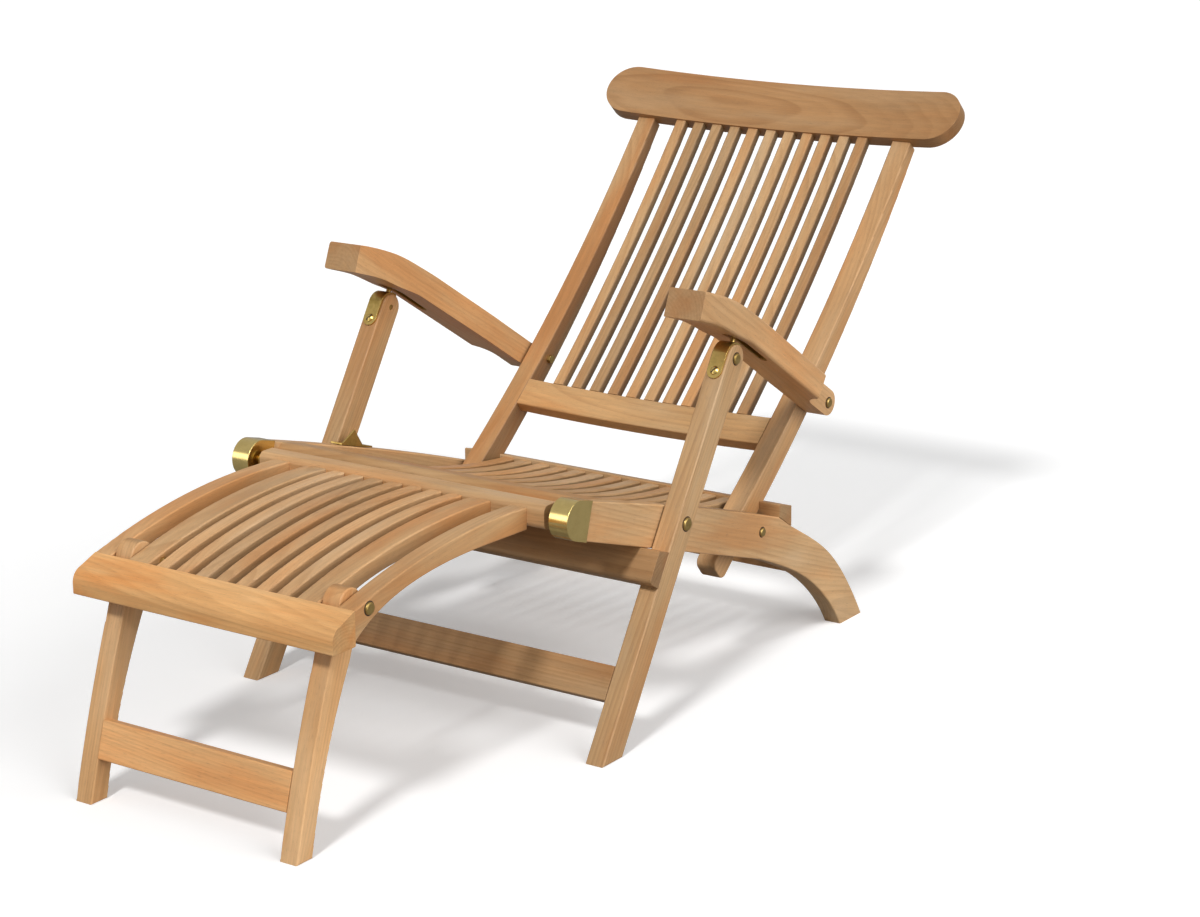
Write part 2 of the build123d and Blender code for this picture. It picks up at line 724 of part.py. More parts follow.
shoulder_end = (tongue_outer, shoulder_run - shoulder)
shoulder_bend = (tongue_outer + shoulder_run / 4, shoulder_run / 3 - shoulder)
with BuildPart() as armrest:
    with BuildSketch(arm_side_plane(arm_front_outer)):
        with BuildLine():
            Line((0, arm_half_depth), arm_top[0])
            Spline(*arm_top, tangents=[(1, 0), arm_top_tip])
            Line(arm_top[-1], arm_under[0])
            Spline(*arm_under, tangents=[arm_under_tip, (-1, 0)])
            Line(arm_under[-1], (0, -arm_half_depth))
            ThreePointArc((0, -arm_half_depth), (-arm_half_depth, 0), (0, arm_half_depth))
        make_face()
    extrude(amount=arm_front_outer - tongue_inner)
    with BuildSketch(arm_plan_plane(0)):
        with BuildLine():
            Line((tongue_inner, ample), (tongue_inner, -arm_inner_straight))
            Line((tongue_inner, -arm_inner_straight), (arm_front_inner, -arm_plan_length))
            Line((arm_front_inner, -arm_plan_length), (arm_front_outer, -arm_plan_length))
            Line((arm_front_outer, -arm_plan_length), (arm_shoulder_outer, -shoulder))
            ThreePointArc((arm_shoulder_outer, -shoulder), shoulder_bend, shoulder_end)
            Line(shoulder_end, (tongue_outer, ample))
            Line((tongue_outer, ample), (tongue_inner, ample))
        make_face()
    extrude(amount=ample, both=True, mode=Mode.INTERSECT)
    side_edges = armrest.faces().sort_by(Axis.X)[-1].edges()
    fillet([e for e in side_edges if e.length > arm_long_edge], arm_soft_edge)
    with BuildSketch(arm_plan_plane(-arm_half_depth - slot_run_out)):
        with Locations((leg_middle, -(slot_rear + slot_front) / 2)):
            SlotOverall(slot_front - slot_rear, slot_width, rotation=90)
    extrude(amount=slot_run_out + slot_depth, mode=Mode.SUBTRACT)
    bore([arm_pivot], shank_radius + shank_fit, tongue_inner, tongue_outer)
save_pair(armrest.part, "armrest")

# brass channel lining the slot under each armrest
with BuildPart() as arm_channel:
    with BuildSketch(arm_plan_plane(-arm_half_depth + channel_recess)):
        with Locations((leg_middle, -(slot_rear + slot_front) / 2)):
            SlotOverall(slot_front - slot_rear - 2 * cap_fit, slot_width - 2 * cap_fit, rotation=90)
    extrude(amount=slot_depth - channel_recess - cap_fit)
    with BuildSketch(arm_plan_plane(-arm_half_depth + channel_recess)):
        with Locations((leg_middle, -(slot_rear + slot_front) / 2)):
            SlotOverall(slot_front - slot_rear - 2 * channel_wall,
                        slot_width - 2 * channel_wall, rotation=90)
    extrude(amount=slot_depth - channel_recess - cap_fit - channel_wall, mode=Mode.SUBTRACT)
save_pair(arm_channel.part, "arm_channel")

# ---------------------------------------------------------------- pivot bolts and washers
leg_pivot_bolt = dome_bolt(leg_pivot, leg_outer + washer_fit, rail_inner - nut_height, leg_pivot_head)
leg_pivot_nut = nut(leg_pivot, rail_inner)
save(Compound(children=[both_sides(leg_pivot_bolt), both_sides(leg_pivot_nut)]), "leg_pivot_bolts")

back_pivot_bolt = dome_bolt(back_pivot, rail_outer, stile_inner - nut_height, back_pivot_head)
back_pivot_nut = nut(back_pivot, stile_inner - washer_fit)
save(Compound(children=[both_sides(back_pivot_bolt), both_sides(back_pivot_nut)]), "back_pivot_bolts")

arm_pivot_bolt = dome_bolt(arm_pivot, tongue_outer + washer_fit, stile_inner - nut_height, arm_pivot_head)
arm_pivot_nut = nut(arm_pivot, stile_inner)
save(Compound(children=[both_sides(arm_pivot_bolt), both_sides(arm_pivot_nut)]), "arm_pivot_bolts")

bore_radius = shank_radius + shank_fit
leg_washer = ring(leg_pivot, rail_outer, leg_gap - washer_fit, washer_radius, bore_radius)
stile_spacer = ring(back_pivot, stile_outer + washer_fit, stile_gap - washer_fit, washer_radius, bore_radius)
arm_washer = ring(arm_pivot, stile_outer, tongue_gap - washer_fit, washer_radius, bore_radius)
save(both_sides(leg_washer), "leg_washers")
save(both_sides(stile_spacer), "stile_spacers")
save(both_sides(arm_washer), "arm_washers")

# ---------------------------------------------------------------- bracket on the right-hand rail
bracket_middle = -(rail_inner + rail_thick / 2)
bracket_start = (bracket_front, on_rail_top(bracket_front))
bracket_end = (bracket_rear, on_rail_top(bracket_rear))
bracket_angle = heading(bracket_start, bracket_end)
bracket_length = hypot(bracket_end[0] - bracket_start[0], bracket_end[1] - bracket_start[1])
with BuildPart() as leg_bracket:
    with BuildSketch(side_plane(bracket_middle - bracket_width / 2)):
        Polygon(
            move(bracket_start, bracket_angle + 90, bracket_lift),
            move(bracket_start, bracket_angle + 90, bracket_lift + bracket_thick),
            move(bracket_end, bracket_angle + 90, bracket_lift + bracket_thick),
            move(bracket_end, bracket_angle + 90, bracket_lift),
            align=None,
        )
    extrude(amount=bracket_width)
    with BuildSketch(side_plane(bracket_middle + bracket_width / 2 - bracket_thick)):
        gusset_start = move(bracket_start, bracket_angle + 90, bracket_lift)
        gusset_peak = move(gusset_start, bracket_angle, bracket_length * bracket_gusset_peak)
        gusset_end = move(gusset_start, bracket_angle, bracket_length * bracket_gusset_end)
        Polygon(gusset_start, move(gusset_peak, 90, bracket_height), gusset_end, align=None)
    extrude(amount=bracket_thick)
save(leg_bracket.part, "leg_bracket")

# ---------------------------------------------------------------- footrest
with BuildSketch() as footrest_shape:
    with BuildLine():
        ThreePointArc(*footrest_top)
        Line(footrest_top[2], footrest_under[-1])
        Spline(*reversed(footrest_under))
        Line(footrest_under[0], footrest_top[0])
    make_face()


def footrest_board(x_from, x_to):
    """A lengthwise board of the footrest, bored for its leg's pivot bolt."""
    with BuildPart() as board:
        with BuildSketch(side_plane(x_from)):
            add(footrest_shape.sketch)
        extrude(amount=x_to - x_from)
        side_edges = board.faces().filter_by(Axis.X).edges()
        fillet([e for e in side_edges if e.length > rail_long_edge], soft_edge)
        bore([footrest_leg_pivot], shank_radius + shank_fit, x_from, x_to)
    return board.part


save_pair(footrest_board(footrest_side_inner, footrest_half), "footrest_side")

ear_front = move(footrest_leg_pivot, ear_front_angle, ear_radius)
ear_top = move(footrest_leg_pivot, ear_front_angle - 90, ear_radius)
ear_rear = move(footrest_leg_pivot, ear_front_angle - 180, ear_radius)
with BuildPart() as footrest_leg:
    with BuildSketch(side_plane(footrest_leg_inner)):
        with BuildLine():
            Line(footrest_leg_front[0], ear_front)
            ThreePointArc(ear_front, ear_top, ear_rear)
            Line(ear_rear, footrest_leg_rear[2])
            ThreePointArc(*reversed(footrest_leg_rear))
            Line(footrest_leg_rear[0], footrest_leg_front[2])
            ThreePointArc(*reversed(footrest_leg_front))
        make_face()
    extrude(amount=footrest_leg_thick)
    fillet(footrest_leg.faces().filter_by(Axis.X).edges(), soft_edge)
    bore([footrest_leg_pivot], shank_radius + shank_fit, footrest_leg_inner, footrest_leg_outer)
save_pair(footrest_leg.part, "footrest_leg")

# front bar of the footrest, cut back where the legs lean against it
leg_rest_low = move(footrest_leg_front[0], 180, running_gap)
leg_rest_high = move(ear_front, 180, running_gap)
bar_rear = footrest_top[0][0]
with BuildPart() as footrest_front_bar:
    with BuildSketch(side_plane(-footrest_half)):
        with BuildLine():
            Line((bar_rear, footrest_bar_under), (bar_rear, footrest_top[0][1]))
            Line((bar_rear, footrest_top[0][1]), footrest_bar_top)
            ThreePointArc(footrest_bar_top, footrest_bar_brow, footrest_bar_nose)
            Line(footrest_bar_nose, (footrest_bar_nose[0], footrest_bar_under))
            Line((footrest_bar_nose[0], footrest_bar_under), (bar_rear, footrest_bar_under))
        make_face()
    extrude(amount=2 * footrest_half)
    fillet(footrest_front_bar.edges().filter_by(Axis.X).sort_by(Axis.Z)[:2], soft_edge)
    for side in (-1, 1):
        with BuildSketch(side_plane(side * (footrest_leg_inner + footrest_leg_outer) / 2)):
            Polygon(
                leg_rest_high,
                move(leg_rest_high, 0, leg_rest_run_out),
                move(leg_rest_low, 0, leg_rest_run_out),
                leg_rest_low,
                align=None,
            )
        extrude(amount=footrest_leg_thick / 2 + leg_rest_side_gap, both=True, mode=Mode.SUBTRACT)
save(footrest_front_bar.part, "footrest_front_bar")

with BuildPart() as footrest_rear_bar:
    with BuildSketch(side_plane(-footrest_bar_half)):
        with Locations(footrest_hinge):
            RectangleRounded(hinge_bar_depth, hinge_bar_height, hinge_bar_round)
    extrude(amount=2 * footrest_bar_half)
    for side in (-1, 1):
        x_start = side * (footrest_bar_half - hinge_pin_bite / 2)
        with BuildSketch(side_plane(x_start)):
            with Locations(footrest_hinge):
                Circle(hinge_pin_radius + press_fit)
        extrude(amount=hinge_pin_bite / 2 + press_fit, both=True, mode=Mode.SUBTRACT)
save(footrest_rear_bar.part, "footrest_rear_bar")

hinge_pin_start = footrest_bar_half - hinge_pin_bite + hinge_pin_end_gap
with BuildPart() as footrest_hinge_pin:
    with BuildSketch(side_plane(hinge_pin_start)):
        with Locations(footrest_hinge):
            Circle(hinge_pin_radius)
    extrude(amount=rail_outer - hinge_pin_recess - hinge_pin_start)
save(both_sides(footrest_hinge_pin.part), "footrest_hinge_pins")

hinge_washer_x = (footrest_bar_half + rail_inner - cheek - hinge_washer_thick) / 2
hinge_washer = ring(footrest_hinge, hinge_washer_x, hinge_washer_thick, hinge_washer_radius,
                    hinge_pin_radius + shank_fit)
save(both_sides(hinge_washer), "hinge_washers")

# slats: the outermost one on each side is wide and deep, and holds its leg's bolt
for place in range(1 - footrest_slats_each_side, footrest_slats_each_side):
    slat = curved_slat(place * slat_pitch, footrest_top, footrest_slat_thick)
    save(slat, f"footrest_slat_{place + footrest_slats_each_side + 1}")
wide_slat = footrest_board(wide_slat_inner, wide_slat_outer)
save(wide_slat, f"footrest_slat_{2 * footrest_slats_each_side + 1}")
save(mirror(wide_slat, about=Plane.YZ), "footrest_slat_1")

footrest_bolt = dome_bolt(footrest_leg_pivot, footrest_half, wide_slat_inner - nut_height,
                          footrest_leg_head)
footrest_nut = nut(footrest_leg_pivot, wide_slat_inner)
save(Compound(children=[both_sides(footrest_bolt), both_sides(footrest_nut)]), "footrest_leg_bolts")

# stretcher between the footrest legs, flush with their fronts


def footrest_front_at(z):
    """The point on the footrest legs' front edge at a height."""
    high, low = 0.0, 1.0
    for _ in range(halvings):
        middle = (high + low) / 2
        if arc_at(footrest_leg_front, middle)[1] > z:
            high = middle
        else:
            low = middle
    return arc_at(footrest_leg_front, high)


brace_low = footrest_front_at(footrest_stretcher_low)
brace_high = footrest_front_at(footrest_stretcher_high)
brace_angle = heading(brace_low, brace_high)
with BuildPart() as footrest_leg_stretcher:
    with BuildSketch(side_plane(-footrest_leg_inner)):
        Polygon(
            brace_low,
            brace_high,
            move(brace_high, brace_angle - 90, footrest_stretcher_thick),
            move(brace_low, brace_angle - 90, footrest_stretcher_thick),
            align=None,
        )
    extrude(amount=2 * footrest_leg_inner)
    fillet(footrest_leg_stretcher.edges().filter_by(Axis.X), soft_edge)
save(footrest_leg_stretcher.part, "footrest_leg_stretcher")
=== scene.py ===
import math

import bmesh
import bpy
from mathutils import Matrix, Vector


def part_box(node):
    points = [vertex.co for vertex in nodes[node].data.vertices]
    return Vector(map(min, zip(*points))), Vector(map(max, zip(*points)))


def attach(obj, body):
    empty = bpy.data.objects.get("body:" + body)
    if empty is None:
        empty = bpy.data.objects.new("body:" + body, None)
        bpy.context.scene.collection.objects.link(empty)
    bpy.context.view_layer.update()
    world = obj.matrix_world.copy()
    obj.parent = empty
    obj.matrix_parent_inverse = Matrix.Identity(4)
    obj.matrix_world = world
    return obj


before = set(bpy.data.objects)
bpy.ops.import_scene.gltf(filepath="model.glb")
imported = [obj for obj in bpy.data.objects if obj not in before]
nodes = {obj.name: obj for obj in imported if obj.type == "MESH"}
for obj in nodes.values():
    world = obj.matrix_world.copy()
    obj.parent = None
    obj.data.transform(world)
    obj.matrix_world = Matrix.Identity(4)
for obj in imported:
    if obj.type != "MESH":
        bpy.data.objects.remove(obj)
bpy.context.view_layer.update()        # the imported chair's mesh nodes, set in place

scene = bpy.context.scene


def addNode(tree, kind, inputs=None, **settings):
    node = tree.nodes.new(kind)
    for key, value in settings.items():
        setattr(node, key, value)
    for key, value in (inputs or {}).items():
        socket = node.inputs[key]
        if isinstance(value, bpy.types.NodeSocket):
            tree.links.new(value, socket)
        else:
            socket.default_value = value
    return node


def calc(tree, operation, a, b=0.0, c=0.0):
    return addNode(tree, "ShaderNodeMath", {0: a, 1: b, 2: c}, operation=operation).outputs[0]


def calcVector(tree, operation, a, b=(0.0, 0.0, 0.0)):
    node = addNode(tree, "ShaderNodeVectorMath", {0: a, 1: b}, operation=operation)
    return node.outputs["Value" if operation in ("LENGTH", "DOT_PRODUCT") else "Vector"]


def remap(tree, value, fromLow, fromHigh, toLow, toHigh, smooth=False):
    kind = "SMOOTHSTEP" if smooth else "LINEAR"
    inputs = {"Value": value, 1: fromLow, 2: fromHigh, 3: toLow, 4: toHigh}
    return addNode(tree, "ShaderNodeMapRange", inputs, interpolation_type=kind).outputs["Result"]


def mixColor(tree, factor, a, b, blend="MIX"):
    inputs = {0: factor, 6: a, 7: b}
    return addNode(tree, "ShaderNodeMix", inputs, data_type="RGBA", blend_type=blend).outputs[2]


def noise(tree, place, scale, detail=2.0, rough=0.5):
    scaled = calcVector(tree, "MULTIPLY", place, scale)
    inputs = {"Vector": scaled, "Scale": 1.0, "Detail": detail, "Roughness": rough}
    return addNode(tree, "ShaderNodeTexNoise", inputs).outputs[0]


def newMaterial(name):
    material = bpy.data.materials.new(name)
    material.use_nodes = True
    material.node_tree.nodes.clear()
    return material


def dress(names, material):
    for name in names:
        piece = nodes[name]
        piece.data.materials.clear()
        piece.data.materials.append(material)


print("stage: camera and room")
camera = {
    "place": (2.18343, -2.96639, 1.33074),     # metres
    "azimuth": 34.795,                         # degrees round the chair, 0 looks along +Y
    "elevation": 15.618,
    "roll": -0.476,
    "lens": 82.8,                              # mm
    "sensor": 36.0,
    "farthest": 200.0,
}
cameraData = bpy.data.cameras.new("camera")
cameraData.lens = camera["lens"]
cameraData.sensor_width = camera["sensor"]
cameraData.clip_end = camera["farthest"]
cameraObject = bpy.data.objects.new("camera", cameraData)
scene.collection.objects.link(cameraObject)
aim = Matrix.Rotation(math.radians(camera["azimuth"]), 4, "Z")
aim = aim @ Matrix.Rotation(math.radians(90 - camera["elevation"]), 4, "X")
aim = aim @ Matrix.Rotation(math.radians(camera["roll"]), 4, "Z")
cameraObject.matrix_world = Matrix.Translation(camera["place"]) @ aim
scene.camera = cameraObject

room = {
    "floorColor": (0.90, 0.90, 0.90, 1.0),
    "floorBounce": (0.34, 0.34, 0.34, 1.0),    # how little of the light it throws back at the chair
    "floorGlow": 0.24,
    "floorSize": 120.0,
    "skyStrength": 0.26,
    "skyLow": (0.85, 0.85, 0.85, 1.0),         # at the horizon
    "skyHigh": (1.0, 1.0, 1.0, 1.0),           # overhead
    "skyTop": 0.8,                             # how far up the overhead colour starts
    "skyShine": 0.22,                          # added where it is seen reflected in the brass
    "panelTowards": (-0.54, -0.81, 0.23),      # a lit panel in front, seen only in the brass
    "panelEdge": 0.94,                         # nearer to 1 makes the panel smaller
    "panelBlur": 0.05,
    "panelShine": 2.2,
    "keyStrength": 1.75,
    "keyHeight": 47.0,                         # degrees above the floor, from the footrest end
    "keyTurn": 13.0,
    "keySoftness": 9.0,
    "fillStrength": 2.2,
    "fillHeight": 22.0,
    "fillTurn": 88.0,                          # towards the chair's left side
    "fillSoftness": 60.0,
}


def addSun(name, strength, height, turn, softness):
    data = bpy.data.lights.new(name, "SUN")
    data.energy = strength
    data.angle = math.radians(softness)
    lamp = bpy.data.objects.new(name, data)
    scene.collection.objects.link(lamp)
    turned = Matrix.Rotation(math.radians(turn), 4, "Z")
    lamp.matrix_world = turned @ Matrix.Rotation(math.radians(90 - height), 4, "X")


addSun("keyLight", room["keyStrength"], room["keyHeight"], room["keyTurn"], room["keySoftness"])
addSun("fillLight", room["fillStrength"], room["fillHeight"], room["fillTurn"],
       room["fillSoftness"])

world = bpy.data.worlds.new("studio")
world.use_nodes = True
scene.world = world
sky = world.node_tree
skyPlace = addNode(sky, "ShaderNodeTexCoord").outputs["Generated"]
skyUp = addNode(sky, "ShaderNodeSeparateXYZ", {0: skyPlace}).outputs["Z"]
skyShare = remap(sky, skyUp, 0.0, room["skyTop"], 0.0, 1.0, smooth=True)
skyColor = mixColor(sky, skyShare, room["skyLow"], room["skyHigh"])
background = sky.nodes["Background"]
mirrored = addNode(sky, "ShaderNodeLightPath").outputs["Is Glossy Ray"]
panel = calcVector(sky, "DOT_PRODUCT", skyPlace, room["panelTowards"])
panelLit = room["panelEdge"] + room["panelBlur"]
panel = remap(sky, panel, room["panelEdge"], panelLit, 0.0, room["panelShine"], smooth=True)
shine = calc(sky, "MULTIPLY", mirrored, calc(sky, "ADD", panel, room["skyShine"]))
skyLight = calc(sky, "ADD", shine, room["skyStrength"])
sky.links.new(skyLight, background.inputs["Strength"])
sky.links.new(skyColor, background.inputs["Color"])

floorMesh = bpy.data.meshes.new("floor")
half = room["floorSize"] / 2
floorMesh.from_pydata([(-half, -half, 0), (half, -half, 0), (half, half, 0), (-half, half, 0)], [],
                      [(0, 1, 2, 3)])
floor = bpy.data.objects.new("floor", floorMesh)
scene.collection.objects.link(floor)
floorMaterial = newMaterial("paleFloor")
floorTree = floorMaterial.node_tree
floorSeen = addNode(floorTree, "ShaderNodeBsdfDiffuse", {"Color": room["floorColor"]}).outputs[0]
floorGlow = addNode(floorTree, "ShaderNodeEmission", {"Strength": room["floorGlow"]}).outputs[0]
floorSeen = addNode(floorTree, "ShaderNodeAddShader", {0: floorSeen, 1: floorGlow}).outputs[0]
floorDim = addNode(floorTree, "ShaderNodeBsdfDiffuse", {"Color": room["floorBounce"]}).outputs[0]
directly = addNode(floorTree, "ShaderNodeLightPath").outputs["Is Camera Ray"]
floorShader = addNode(floorTree, "ShaderNodeMixShader", {0: directly, 1: floorDim, 2: floorSeen})
addNode(floorTree, "ShaderNodeOutputMaterial", {"Surface": floorShader.outputs[0]})
floorMesh.materials.append(floorMaterial)

scene.view_settings.view_transform = "Standard"
scene.view_settings.look = "None"


print("stage: teak")
teak = {
    "pale": (0.615, 0.380, 0.185, 1.0),         # early wood
    "deep": (0.385, 0.200, 0.078, 1.0),        # late wood
    "ember": (0.570, 0.262, 0.090, 1.0),       # the warm drifts along a board
    "ash": (0.640, 0.455, 0.270, 1.0),         # the bleached drifts
    "ringWidth": 0.0048,                       # metres, like the sizes below
    "ringRise": 0.15,                          # where in a ring the late wood begins
    "ringPeak": 0.86,                          # and where it is darkest
    "faintRing": 0.25,                         # how dark the faintest ring is, next to the darkest
    "heartBeside": 0.09,                       # how far to either side a board's heart can lie
    "heartBelow": (0.025, 0.10),
    "heartLean": 0.07,
    "boardShift": (3.0, 5.0, 3.0),             # spreads the boards through the noise
    "cloudShift": (4.0, 9.0, 2.0),
    "fibre": (1100.0, 24.0, 1100.0),           # how fine the fibres run, across, along, across
    "streak": (220.0, 5.0, 220.0),
    "pore": (2400.0, 80.0, 2400.0),
    "drift": (15.0, 2.6, 15.0),
    "cloud": (11.0, 3.6, 11.0),
    "wander": (7.0, 1.1, 7.0),
    "wanderReach": 0.045,
    "fibreShade": (0.93, 1.06),                # darkest and lightest
    "streakShade": (0.91, 1.08),
    "cloudShade": (0.89, 1.09),
    "poreShade": 0.76,
    "ashShare": 0.55,
    "edge": 0.0011,                            # rounding of the arrises in the light
    "arrisReach": 0.0022,                      # how wide the worn, paler arris is
    "arrisPale": 1.13,
    "sawnEnd": 0.72,                           # how dark the end grain is
    "sawnDull": 0.15,
    "roughness": (0.35, 0.55),
    "specular": 0.38,
    "bump": 0.35,
    "bumpDepth": 0.0004,
}


def makeTeakGroup():
    tree = bpy.data.node_groups.new("teakFigure", "ShaderNodeTree")
    for label, kind in (("Centre", "Vector"), ("Turn", "Vector"), ("Spacing", "Float"),
                        ("Seed", "Float"), ("Tone", "Color"), ("Figure", "Float"),
                        ("Warmth", "Float"), ("Spread", "Float"), ("SideShade", "Float"),
                        ("InwardShade", "Float")):
        tree.interface.new_socket(label, in_out="INPUT", socket_type=f"NodeSocket{kind}")
    for label, kind in (("Color", "Color"), ("Roughness", "Float"), ("Height", "Float")):
        tree.interface.new_socket(label, in_out="OUTPUT", socket_type=f"NodeSocket{kind}")
    given = tree.nodes.new("NodeGroupInput").outputs
    result = tree.nodes.new("NodeGroupOutput")

    # which board of a row this is, and its own random numbers
    coords = addNode(tree, "ShaderNodeTexCoord").outputs
    spot = addNode(tree, "ShaderNodeSeparateXYZ", {0: coords["Object"]}).outputs
    cell = calc(tree, "ROUND", calc(tree, "DIVIDE", spot["X"], given["Spacing"]))
    key = addNode(tree, "ShaderNodeCombineXYZ", {"X": cell, "Y": given["Seed"]}).outputs[0]
    chance = addNode(tree, "ShaderNodeTexWhiteNoise", {"Vector": key}, noise_dimensions="3D")
    luck = addNode(tree, "ShaderNodeSeparateXYZ", {0: chance.outputs["Color"]}).outputs
    cellX = calc(tree, "MULTIPLY", cell, given["Spacing"])
    cellPlace = addNode(tree, "ShaderNodeCombineXYZ", {"X": cellX}).outputs[0]
    local = calcVector(tree, "SUBTRACT", coords["Object"], given["Centre"])
    local = calcVector(tree, "SUBTRACT", local, cellPlace)
    board = addNode(tree, "ShaderNodeVectorRotate",
                    {"Vector": local, "Rotation": given["Turn"]},
                    rotation_type="EULER_XYZ").outputs[0]
    facing = addNode(tree, "ShaderNodeVectorRotate",
                     {"Vector": coords["Normal"], "Rotation": given["Turn"]},
                     rotation_type="EULER_XYZ").outputs[0]
    shift = calcVector(tree, "MULTIPLY", chance.outputs["Color"], teak["boardShift"])
    placed = calcVector(tree, "ADD", board, shift)

    # growth rings round a heart that lies beside the board and leans a little along it
    at = addNode(tree, "ShaderNodeSeparateXYZ", {0: board}).outputs
    heartX = remap(tree, luck["X"], 0.0, 1.0, -teak["heartBeside"], teak["heartBeside"])
    heartZ = remap(tree, luck["Y"], 0.0, 1.0, *teak["heartBelow"])
    lean = remap(tree, luck["Z"], 0.0, 1.0, -teak["heartLean"], teak["heartLean"])
    ringX = calc(tree, "ADD", at["X"], heartX)
    ringZ = calc(tree, "ADD", calc(tree, "MULTIPLY_ADD", at["Y"], lean, at["Z"]), heartZ)
    ringPlace = addNode(tree, "ShaderNodeCombineXYZ", {"X": ringX, "Z": ringZ}).outputs[0]
    radius = calcVector(tree, "LENGTH", ringPlace)
    wander = noise(tree, placed, teak["wander"], 2.0)
    wander = calc(tree, "SUBTRACT", wander, 0.5)
    wandered = calc(tree, "MULTIPLY_ADD", wander, teak["wanderReach"], radius)
    phase = calc(tree, "DIVIDE", wandered, teak["ringWidth"])
    ringSpot = calc(tree, "FRACT", phase)
    rising = remap(tree, ringSpot, teak["ringRise"], teak["ringPeak"], 0.0, 1.0, smooth=True)
    falling = remap(tree, ringSpot, teak["ringPeak"], 1.0, 1.0, 0.0, smooth=True)
    ring = calc(tree, "MULTIPLY", rising, falling)
    ringNumber = addNode(tree, "ShaderNodeTexWhiteNoise", {"W": calc(tree, "FLOOR", phase)},
                         noise_dimensions="1D").outputs["Value"]
    ring = calc(tree, "MULTIPLY", ring, remap(tree, ringNumber, 0.0, 1.0, teak["faintRing"], 1.0))
    ring = calc(tree, "MULTIPLY", ring, given["Figure"])

    # fibres, pores and the slow drifts of colour
    fibre = noise(tree, placed, teak["fibre"], 3.0, 0.6)
    streak = noise(tree, placed, teak["streak"], 3.0, 0.55)
    pore = remap(tree, noise(tree, placed, teak["pore"], 1.0), 0.62, 0.72, 0.0, 1.0, smooth=True)
    drift = noise(tree, placed, teak["drift"], 3.0, 0.6)
    cloudPlace = calcVector(tree, "ADD", placed, teak["cloudShift"])
    cloud = noise(tree, cloudPlace, teak["cloud"], 3.0, 0.6)
    warm = remap(tree, drift, 0.44, 0.66, 0.0, 1.0, smooth=True)
    warm = calc(tree, "MULTIPLY", warm, given["Warmth"])
    ashy = remap(tree, drift, 0.30, 0.46, teak["ashShare"], 0.0, smooth=True)

    color = mixColor(tree, ring, teak["pale"], teak["deep"])
    color = mixColor(tree, warm, color, teak["ember"])
    color = mixColor(tree, ashy, color, teak["ash"])
    color = mixColor(tree, 1.0, color, given["Tone"], "MULTIPLY")
    lightness = calc(tree, "MULTIPLY_ADD", calc(tree, "SUBTRACT", chance.outputs["Value"], 0.5),
                     given["Spread"], 1.0)
    for shade in (remap(tree, fibre, 0.25, 0.75, *teak["fibreShade"]),
                  remap(tree, streak, 0.25, 0.75, *teak["streakShade"]),
                  remap(tree, cloud, 0.32, 0.68, *teak["cloudShade"]),
                  remap(tree, pore, 0.0, 1.0, 1.0, teak["poreShade"])):
        lightness = calc(tree, "MULTIPLY", lightness, shade)

    # painted shade: narrow faces are darkened by the way they face, most of all those that look
    # inwards, where neighbouring pieces shade them
    sideways = addNode(tree, "ShaderNodeSeparateXYZ", {0: coords["Normal"]}).outputs["X"]
    inward = calc(tree, "MULTIPLY", sideways, calc(tree, "SIGN", spot["X"]))
    inward = calc(tree, "MAXIMUM", calc(tree, "MULTIPLY", inward, -1.0), 0.0)
    inward = calc(tree, "MULTIPLY", inward, given["InwardShade"])
    sideShade = calc(tree, "MULTIPLY", calc(tree, "ABSOLUTE", sideways), given["SideShade"])
    lit = calc(tree, "SUBTRACT", 1.0, calc(tree, "ADD", inward, sideShade))
    lightness = calc(tree, "MULTIPLY", lightness, lit)

    # sawn ends drink more oil, arrises are worn paler
    along = addNode(tree, "ShaderNodeSeparateXYZ", {0: facing}).outputs["Y"]
    sawnEnd = remap(tree, calc(tree, "ABSOLUTE", along), 0.70, 0.95, 0.0, 1.0, smooth=True)
    endShade = remap(tree, sawnEnd, 0.0, 1.0, 1.0, teak["sawnEnd"])
    lightness = calc(tree, "MULTIPLY", lightness, endShade)
    rounded = addNode(tree, "ShaderNodeBevel", {"Radius": teak["arrisReach"]}, samples=4).outputs[0]
    flat = addNode(tree, "ShaderNodeNewGeometry").outputs["Normal"]
    arris = remap(tree, calcVector(tree, "DOT_PRODUCT", rounded, flat), 0.80, 0.99, 1.0, 0.0)
    arrisShade = remap(tree, arris, 0.0, 1.0, 1.0, teak["arrisPale"])
    lightness = calc(tree, "MULTIPLY", lightness, arrisShade)
    grey = addNode(tree, "ShaderNodeCombineXYZ", {"X": lightness, "Y": lightness, "Z": lightness})
    color = mixColor(tree, 1.0, color, grey.outputs[0], "MULTIPLY")
    roughness = remap(tree, fibre, 0.2, 0.8, *teak["roughness"])
    roughness = calc(tree, "MULTIPLY_ADD", sawnEnd, teak["sawnDull"], roughness)
    height = calc(tree, "MULTIPLY_ADD", pore, -0.7, fibre)
    height = calc(tree, "MULTIPLY_ADD", ring, 0.25, height)
    tree.links.new(color, result.inputs["Color"])
    tree.links.new(roughness, result.inputs["Roughness"])
    tree.links.new(height, result.inputs["Height"])
    return tree


teakGroup = makeTeakGroup()


def boxOf(names):
    corners = [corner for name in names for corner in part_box(name)]
    low = Vector([min(corner[i] for corner in corners) for i in range(3)])
    high = Vector([max(corner[i] for corner in corners) for i in range(3)])
    return low, high


# what a board's look is where its own dictionary does not say
usualLook = {
    "spacing": 10.0,       # metres from board to board in a row, here so wide that there is one
    "figure": 0.4,         # how strongly the rings show
    "warmth": 0.6,
    "spread": 0.2,         # how much the boards of a row differ
    "sideShade": 0.0,          # how much painted shade darkens the narrow faces
    "inwardShade": 0.0,     # and the stronger painted shade on those that look inwards
}


